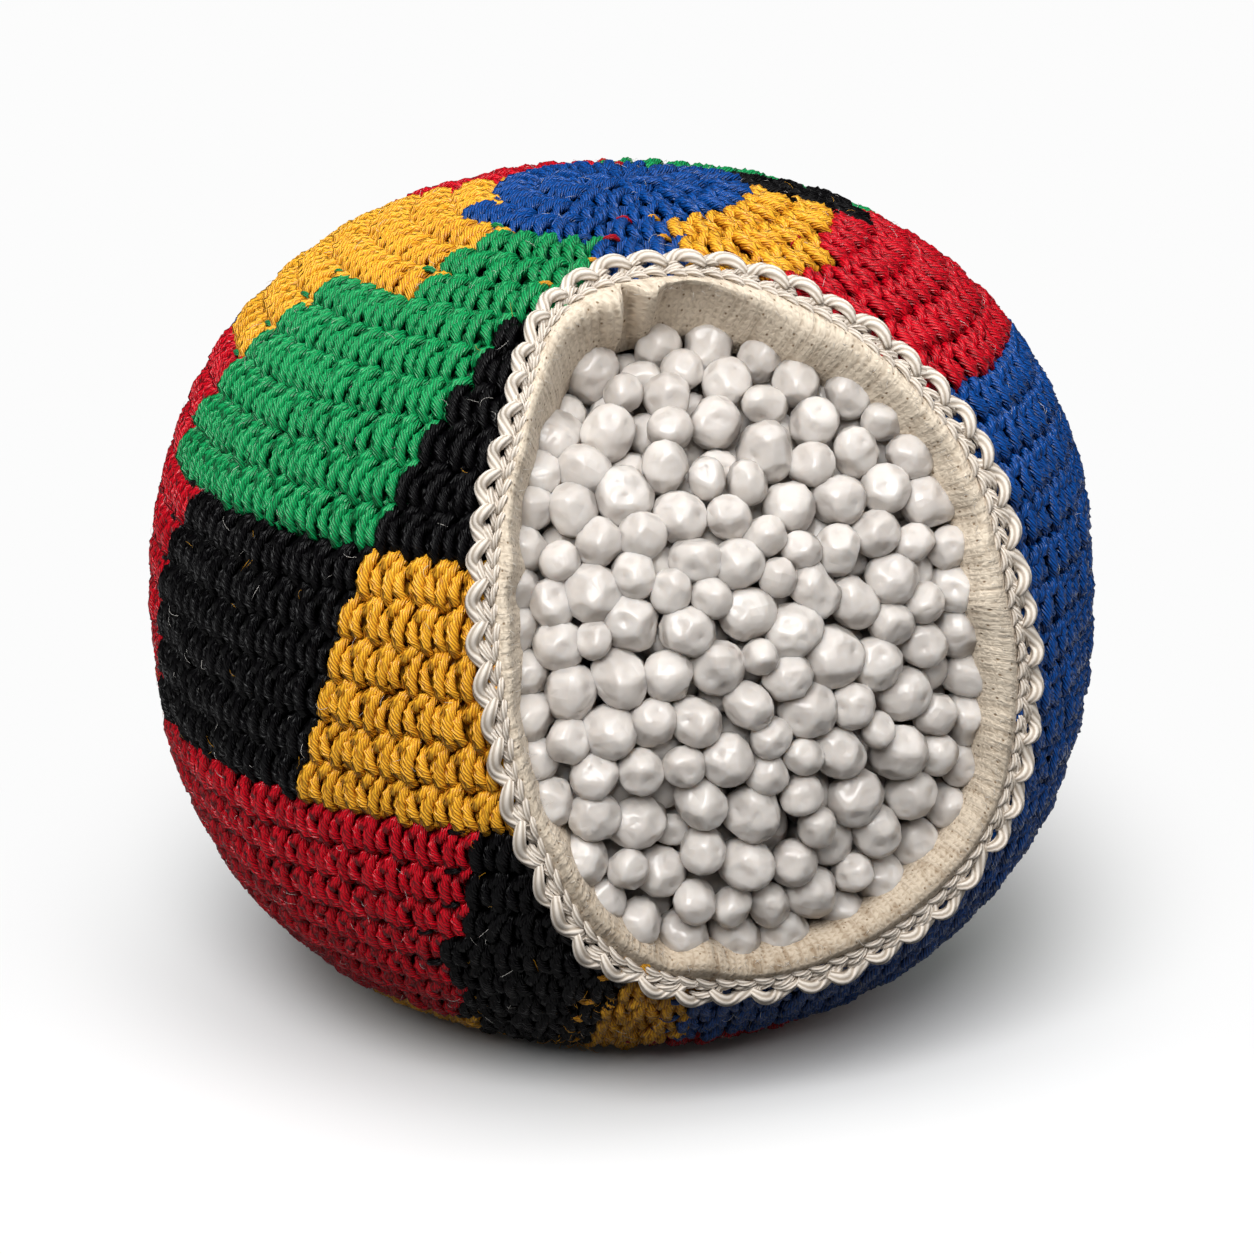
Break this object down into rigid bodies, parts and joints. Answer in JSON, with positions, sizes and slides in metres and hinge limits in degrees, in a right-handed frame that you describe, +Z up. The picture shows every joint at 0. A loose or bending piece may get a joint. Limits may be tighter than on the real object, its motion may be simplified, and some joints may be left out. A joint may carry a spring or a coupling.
{
  "type": "footbag",
  "caption": "Crocheted footbag in blocks of colour, with a cord-edged window that shows its lining and loose pellets.",
  "frame": {"origin": "middle of the flat patch that the bag rests on", "axes": "+Z up, through the crown of the crochet; the window faces -Y, turned 17 degrees towards +X"},
  "size_m": [0.0548, 0.0558, 0.0486],
  "materials": {
    "blue_yarn": "crocheted twisted yarn",
    "green_yarn": "crocheted twisted yarn",
    "yellow_yarn": "crocheted twisted yarn",
    "red_yarn": "crocheted twisted yarn",
    "black_yarn": "crocheted twisted yarn",
    "lining_cotton": "unbleached woven cotton",
    "edging_cotton": "unbleached cotton cord",
    "pellet_plastic": "milky, lightly glossy"
  },
  "bodies": {
    "root": {"cover_black_back": "black_yarn", "cover_black_front": "black_yarn", "cover_black_left": "black_yarn", "cover_black_low": "black_yarn", "cover_black_rear": "black_yarn", "cover_black_shoulder": "black_yarn", "cover_blue_back": "blue_yarn", "cover_blue_crown": "blue_yarn", "cover_blue_right": "blue_yarn", "cover_green_back": "green_yarn", "cover_green_base": "green_yarn", "cover_green_front": "green_yarn", "cover_green_rear": "green_yarn", "cover_red_back": "red_yarn", "cover_red_left": "red_yarn", "cover_red_rear": "red_yarn", "cover_red_shoulder": "red_yarn", "cover_red_under": "red_yarn", "cover_yellow_back": "yellow_yarn", "cover_yellow_front": "yellow_yarn", "cover_yellow_left": "yellow_yarn", "cover_yellow_low": "yellow_yarn", "cover_yellow_shoulder": "yellow_yarn", "cover_yellow_under": "yellow_yarn", "edging_chain": "edging_cotton", "edging_scallops": "edging_cotton", "lining_hem": "lining_cotton", "lining_pouch": "lining_cotton", "pellet_bed": "pellet_plastic"},
    "pellet_01": {"loose_pellet_01": "pellet_plastic"},
    "pellet_02": {"loose_pellet_02": "pellet_plastic"},
    "pellet_03": {"loose_pellet_03": "pellet_plastic"},
    "pellet_04": {"loose_pellet_04": "pellet_plastic"},
    "pellet_05": {"loose_pellet_05": "pellet_plastic"},
    "pellet_06": {"loose_pellet_06": "pellet_plastic"},
    "pellet_07": {"loose_pellet_07": "pellet_plastic"},
    "pellet_08": {"loose_pellet_08": "pellet_plastic"},
    "pellet_09": {"loose_pellet_09": "pellet_plastic"},
    "pellet_10": {"loose_pellet_10": "pellet_plastic"},
    "pellet_11": {"loose_pellet_11": "pellet_plastic"},
    "pellet_12": {"loose_pellet_12": "pellet_plastic"},
    "pellet_13": {"loose_pellet_13": "pellet_plastic"}
  },
  "joints": [
    {"name": "pellet_01_lift_out", "type": "slide", "parent": "root", "child": "pellet_01", "axis": [0.2824, -0.9237, 0.2588], "range_m": [0, 0.03]},
    {"name": "pellet_02_lift_out", "type": "slide", "parent": "root", "child": "pellet_02", "axis": [0.2824, -0.9237, 0.2588], "range_m": [0, 0.03]},
    {"name": "pellet_03_lift_out", "type": "slide", "parent": "root", "child": "pellet_03", "axis": [0.2824, -0.9237, 0.2588], "range_m": [0, 0.03]},
    {"name": "pellet_04_lift_out", "type": "slide", "parent": "root", "child": "pellet_04", "axis": [0.2824, -0.9237, 0.2588], "range_m": [0, 0.03]},
    {"name": "pellet_05_lift_out", "type": "slide", "parent": "root", "child": "pellet_05", "axis": [0.2824, -0.9237, 0.2588], "range_m": [0, 0.03]},
    {"name": "pellet_06_lift_out", "type": "slide", "parent": "root", "child": "pellet_06", "axis": [0.2824, -0.9237, 0.2588], "range_m": [0, 0.03]},
    {"name": "pellet_07_lift_out", "type": "slide", "parent": "root", "child": "pellet_07", "axis": [0.2824, -0.9237, 0.2588], "range_m": [0, 0.03]},
    {"name": "pellet_08_lift_out", "type": "slide", "parent": "root", "child": "pellet_08", "axis": [0.2824, -0.9237, 0.2588], "range_m": [0, 0.03]},
    {"name": "pellet_09_lift_out", "type": "slide", "parent": "root", "child": "pellet_09", "axis": [0.2824, -0.9237, 0.2588], "range_m": [0, 0.03]},
    {"name": "pellet_10_lift_out", "type": "slide", "parent": "root", "child": "pellet_10", "axis": [0.2824, -0.9237, 0.2588], "range_m": [0, 0.03]},
    {"name": "pellet_11_lift_out", "type": "slide", "parent": "root", "child": "pellet_11", "axis": [0.2824, -0.9237, 0.2588], "range_m": [0, 0.03]},
    {"name": "pellet_12_lift_out", "type": "slide", "parent": "root", "child": "pellet_12", "axis": [0.2824, -0.9237, 0.2588], "range_m": [0, 0.03]},
    {"name": "pellet_13_lift_out", "type": "slide", "parent": "root", "child": "pellet_13", "axis": [0.2824, -0.9237, 0.2588], "range_m": [0, 0.03]}
  ]
}
